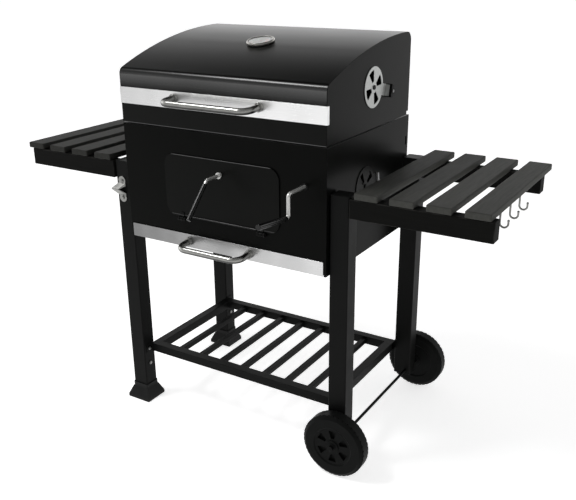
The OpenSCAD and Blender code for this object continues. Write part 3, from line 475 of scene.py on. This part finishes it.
def clear_glass(name):
    """Flat window glass with a trace of smearing."""
    material, tree, shader = new_material(
        name, (0.94, 0.96, 0.95), 0.03, IOR=1.45, Transmission_Weight=1.0)
    smears = noise(tree, 40.0, 5.0)
    tree.links.new(spread(tree, smears, 0.02, 0.12), shader.inputs["Roughness"])
    tint = blend_colours(tree, spread(tree, smears, 0.0, 1.0), (0.96, 0.98, 0.97), (0.88, 0.9, 0.89))
    tree.links.new(tint, shader.inputs["Base Color"])
    return material


def red_lacquer(name):
    """Satin red lacquer on the needle."""
    material, tree, shader = new_material(name, (0.42, 0.02, 0.015), 0.35)
    mottle = spread(tree, noise(tree, 400.0, 3.0), 0.0, 1.0)
    shade = blend_colours(tree, mottle, (0.45, 0.02, 0.015), (0.34, 0.015, 0.012))
    tree.links.new(shade, shader.inputs["Base Color"])
    tree.links.new(spread(tree, mottle, 0.3, 0.42, 0.0, 1.0), shader.inputs["Roughness"])
    return material


def make_materials():
    """Every finish on the cart, by name."""
    vent_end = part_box("box_vent_disc")[1].x
    knob_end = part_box("lid_vent_knob")[1].x
    door_low, door_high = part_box("charcoal_door")
    # Painted highlight lines: thin metal bands on the door's hem, along the door's top edge and along the
    # lid's lower edge.
    hem = door_low.z + HEM_RISE_MM * MM
    hem_highlight = (hem, hem + HEM_HIGHLIGHT_MM * MM)
    door_highlight = (door_high.z - EDGE_HIGHLIGHT_MM * MM, door_high.z + MM)
    lid_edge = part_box("lid_shell")[0].z
    lid_highlight = (lid_edge - MM, lid_edge + EDGE_HIGHLIGHT_MM * MM)
    lid = glossy_fold(enamel("enamel_lid", 1.0, 0.3, 1.17), "lid_band", FOLD_RISE_MM, FOLD_SPREAD_MM)
    # Painted light: the door's enamel has a lighter tone than the rest, as the door catches more light.
    door = bare_metal_and_highlight_band(enamel("enamel_door", 1.1, 0.3, 1.14), "Z", *hem_highlight, (0.05,) * 3)
    return {
        # Painted shade: the box's enamel has a darker tone than the lid's, as its walls lie in more shade.
        "enamel": enamel("enamel", 0.9, 0.3, 1.11),
        "enamel_side": enamel("enamel_side", 1.0, 0.3, 1.13),
        "enamel_lid": bare_metal_and_highlight_band(lid, "Z", *lid_highlight, (0.1,) * 3),
        "enamel_door": bare_metal_and_highlight_band(door, "Z", *door_highlight, (0.1,) * 3),
        "powder_black": powder_coat("powder_black"),
        "boards_y": painted_board("boards_y", "Y"),
        # The right table's slats: the same paint in a lighter tone, a painted light where more light falls
        # on them.
        "boards_lit_right": painted_board("boards_lit_right", "Y", 2.1),
        "boards_x": painted_board("boards_x", "X", 0.22, 1.11),
        "black_plastic": moulded_plastic("black_plastic", (0.0052, 0.0055, 0.0053), 0.42, 1.12),
        "foot_plastic": moulded_plastic("foot_plastic", (0.008, 0.0083, 0.0082), 0.38, 1.2),
        "grip_plastic": moulded_plastic("grip_plastic", roughness=0.22, index=1.4),
        "band_steel": steel_with_painted_sheen("band_steel", "lid_band", 0.78, 1.15),
        "strip_steel": steel_with_painted_sheen("strip_steel", "drawer_front", 0.24, 0.74),
        "stainless_rod": polished_rod("stainless_rod"),
        "bright_rod": polished_rod("bright_rod", (0.85, 0.85, 0.83), (0.2, 0.2, 0.195), 0.7),
        "bezel_steel": brushed_steel("bezel_steel", "Y", (0.36, 0.35, 0.33), 0.25, 0.6),
        "zinc": zinc_plate("zinc", (0.46, 0.47, 0.46)),
        "zinc_dull": zinc_plate("zinc_dull", (0.3, 0.3, 0.29), 0.4),
        "grate_steel": wire_steel("grate_steel"),
        "ash_steel": galvanised_sheet("ash_steel"),
        "dial": dial_face("dial"),
        "lens": clear_glass("lens"),
        "needle": red_lacquer("needle"),
        # The firebox vent's disc wears the box's black enamel, with bright bare metal at its tab's outer
        # end.
        "black_vent_bright_tip": bare_metal_and_highlight_band(
            enamel("black_vent_bright_tip"), "X", vent_end - VENT_TIP_MM * MM, vent_end + MM, (0.9, 0.91, 0.9)),
        "knob_and_screw": bare_metal_and_highlight_band(
            moulded_plastic("knob_and_screw"), "X",
            knob_end - KNOB_TIP_MM * MM, knob_end + MM, (0.2,) * 3),
    }


# ------------------------------------------------------------ edges

def soften(node, width_mm, segments=2):
    """Copies a CAD node's mesh into a piece with rounded edges and smooth curved faces."""
    source = frame["nodes"][node]
    mesh = bpy.data.meshes.new(f"{node}_fine")
    work = bmesh.new()
    work.from_mesh(source.data)
    bmesh.ops.remove_doubles(work, verts=work.verts, dist=0.002 * MM)
    bmesh.ops.dissolve_degenerate(work, dist=0.001 * MM, edges=work.edges)
    flat = math.radians(0.2)
    bmesh.ops.dissolve_limit(work, angle_limit=flat, verts=work.verts, edges=work.edges)
    sharp = [e for e in work.edges if len(e.link_faces) == 2 and e.calc_face_angle(0.0) > EDGE_ANGLE]
    worn = work.faces.layers.float.new("edge_wear")
    made = bmesh.ops.bevel(
        work, geom=sharp, offset=width_mm * MM, offset_type="OFFSET", segments=segments,
        profile=0.5, affect="EDGES", clamp_overlap=True,
    )
    for face in made["faces"]:
        face[worn] = 1.0
    for face in work.faces:
        face.smooth = True
    work.to_mesh(mesh)
    work.free()
    piece = bpy.data.objects.new(f"{node}_fine", mesh)
    bpy.context.scene.collection.objects.link(piece)
    normals = piece.modifiers.new("normals", "WEIGHTED_NORMAL")
    normals.keep_sharp = True
    normals.weight = 100
    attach(piece, frame["node_body"][node])
    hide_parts(node)
    return piece


def body_of_nodes():
    """Node name to body name, from the record."""
    bodies = frame["record"]["behaviour"]["bodies"]
    return {node: body for body, nodes in bodies.items() for node in nodes}


def finish_names(materials):
    """The material that each CAD node wears: its slot's own, unless it is named here."""
    names = {}
    for part in frame["record"]["subparts"]:
        node, own = part["node"], part["material_slot"]
        names[node] = FINISH_OF_NODE.get(node, FINISH_OF_SLOT.get(own, own))
        if node.endswith("apron"):
            names[node] = "boards_x"
    return {node: materials[name] for node, name in names.items()}


# ------------------------------------------------------------ stage

def make_camera():
    """A camera at the photo's angle."""
    azimuth, down, roll = (math.radians(v) for v in (CAMERA_AZIMUTH, CAMERA_DOWN, CAMERA_ROLL))
    back = Vector((math.sin(azimuth) * math.cos(down), -math.cos(azimuth) * math.cos(down), math.sin(down)))
    right = (-back).cross(Vector((0, 0, 1))).normalized()
    up = right.cross(-back)
    turned_right = math.cos(roll) * right + math.sin(roll) * up
    turned_up = math.cos(roll) * up - math.sin(roll) * right
    matrix = Matrix((turned_right, turned_up, back)).transposed().to_4x4()
    matrix.translation = Vector(CAMERA_AT)
    data = bpy.data.cameras.new("camera")
    data.sensor_fit = "HORIZONTAL"
    data.sensor_width = SENSOR_WIDTH
    data.lens = CAMERA_LENS
    camera = bpy.data.objects.new("camera", data)
    camera.matrix_world = matrix
    bpy.context.scene.collection.objects.link(camera)
    bpy.context.scene.camera = camera


def make_floor():
    """A wide pale floor."""
    mesh = bpy.data.meshes.new("floor")
    work = bmesh.new()
    bmesh.ops.create_grid(work, x_segments=16, y_segments=16, size=FLOOR_HALF_WIDTH)
    work.to_mesh(mesh)
    work.free()
    floor = bpy.data.objects.new("floor", mesh)
    bpy.context.scene.collection.objects.link(floor)
    material, tree, shader = new_material("floor_paint", (0.9, 0.9, 0.9), 0.8, Specular_IOR_Level=0.1)
    tree.links.new(spread(tree, noise(tree, 3.0), 0.74, 0.86), shader.inputs["Roughness"])
    shader.inputs["Emission Color"].default_value = (1.0, 1.0, 1.0, 1.0)
    shader.inputs["Emission Strength"].default_value = FLOOR_GLOW
    material.cycles.emission_sampling = "NONE"
    mesh.materials.append(material)


def area_light(name, at, target, size, power):
    """A rectangular lamp that faces a target."""
    data = bpy.data.lights.new(name, "AREA")
    data.shape = "RECTANGLE"
    data.size, data.size_y = size
    data.energy = power
    light = bpy.data.objects.new(name, data)
    light.location = at
    light.rotation_mode = "QUATERNION"
    light.rotation_quaternion = (Vector(target) - Vector(at)).to_track_quat("-Z", "Y")
    bpy.context.scene.collection.objects.link(light)


def make_world():
    """Surroundings that are bright low down behind the cart and dimmer overhead and in front."""
    world = bpy.data.worlds.new("studio")
    world.use_nodes = True
    world.cycles.sampling_method = "NONE"
    tree = world.node_tree
    direction = coordinates(tree, "Generated")
    azimuth = math.radians(CAMERA_AZIMUTH)
    sideways = combine(tree, "MULTIPLY", direction["X"], -math.sin(azimuth))
    inward = combine(tree, "MULTIPLY", direction["Y"], math.cos(azimuth))
    away = combine(tree, "ADD", sideways, inward)
    behind = spread(tree, away, 0.0, 1.0, -0.1, 0.5)
    rear = combine(tree, "MULTIPLY", behind, spread(tree, direction["Z"], *REAR_GLOW, *REAR_RISE))
    ahead = combine(tree, "SUBTRACT", 1.0, behind)
    front = combine(tree, "MULTIPLY", ahead, spread(tree, direction["Z"], *FRONT_GLOW, *FRONT_RISE))
    background = tree.nodes["Background"]
    background.inputs["Color"].default_value = (1.0, 1.0, 1.0, 1.0)
    tree.links.new(combine(tree, "ADD", rear, front), background.inputs["Strength"])
    bpy.context.scene.world = world


def make_lights():
    """The surroundings, one soft lamp high on the left, and plain display colours."""
    make_world()
    area_light("key", KEY_AT, KEY_TARGET, KEY_SIZE, KEY_WATTS)
    bpy.context.scene.view_settings.view_transform = "Standard"


# ------------------------------------------------------------ the cart

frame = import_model()
frame["node_body"] = body_of_nodes()

make_camera()
make_floor()
make_lights()

materials = make_materials()
finishes = finish_names(materials)
for node, shape in frame["nodes"].items():
    piece = soften(node, EDGE_MM[node]) if node in EDGE_MM else shape
    piece.data.materials.clear()
    piece.data.materials.append(finishes[node])
